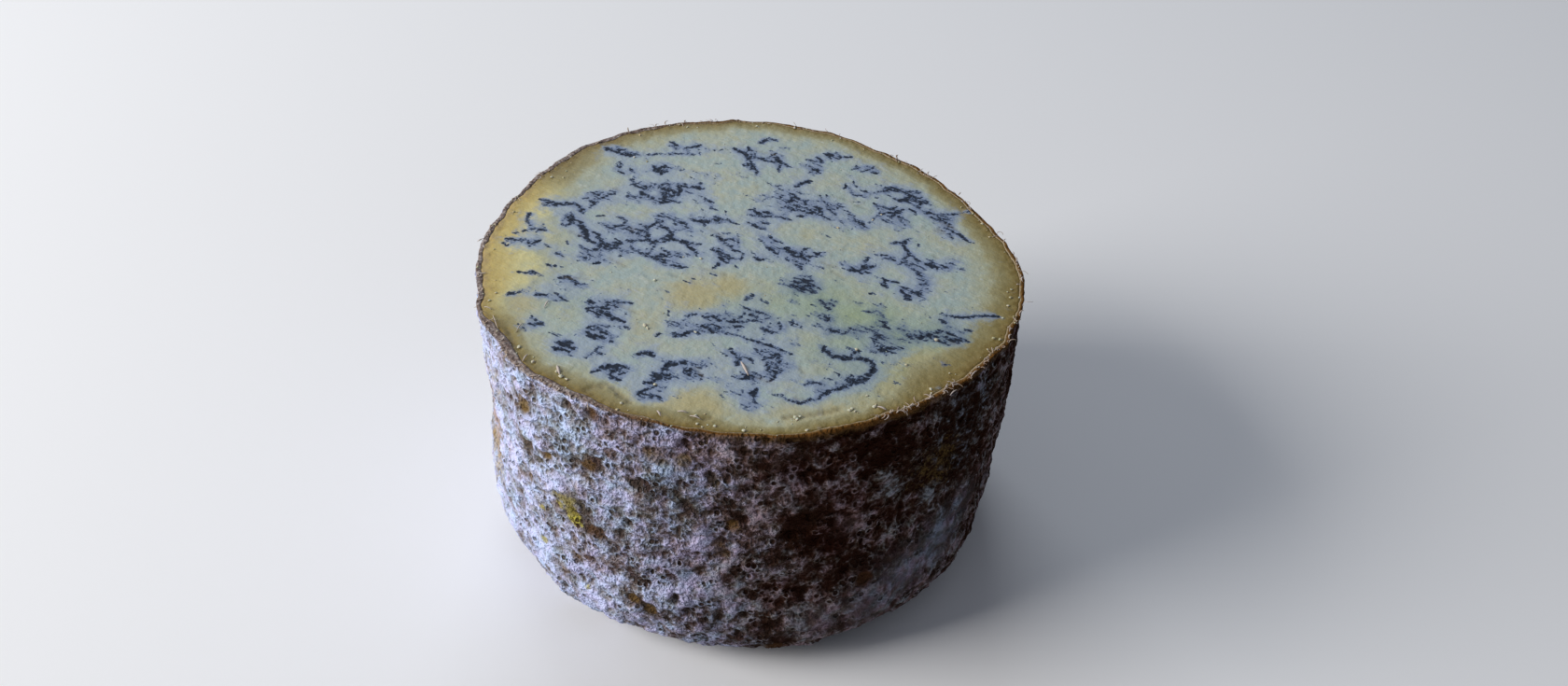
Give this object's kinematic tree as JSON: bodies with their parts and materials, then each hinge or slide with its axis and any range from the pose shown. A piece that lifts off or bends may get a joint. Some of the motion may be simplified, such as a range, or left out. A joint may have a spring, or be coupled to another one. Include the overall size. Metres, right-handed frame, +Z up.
{
  "type": "half wheel of blue cheese",
  "caption": "Half of a round blue-veined cheese wheel with a natural mould-bloomed rind, cut across and standing with its marbled cut face up.",
  "frame": {"origin": "centre of the flat foot that the half wheel stands on", "axes": "+Z up through the cut face; -Y is the front; the cut face slopes down two degrees towards +X"},
  "size_m": [0.2032, 0.2031, 0.1216],
  "materials": {
    "cheese": "creamy paste with blue-green veins on the cut face; dry brown rind under lilac-grey mould bloom elsewhere"
  },
  "bodies": {
    "root": {"cheese": "cheese"}
  },
  "joints": []
}
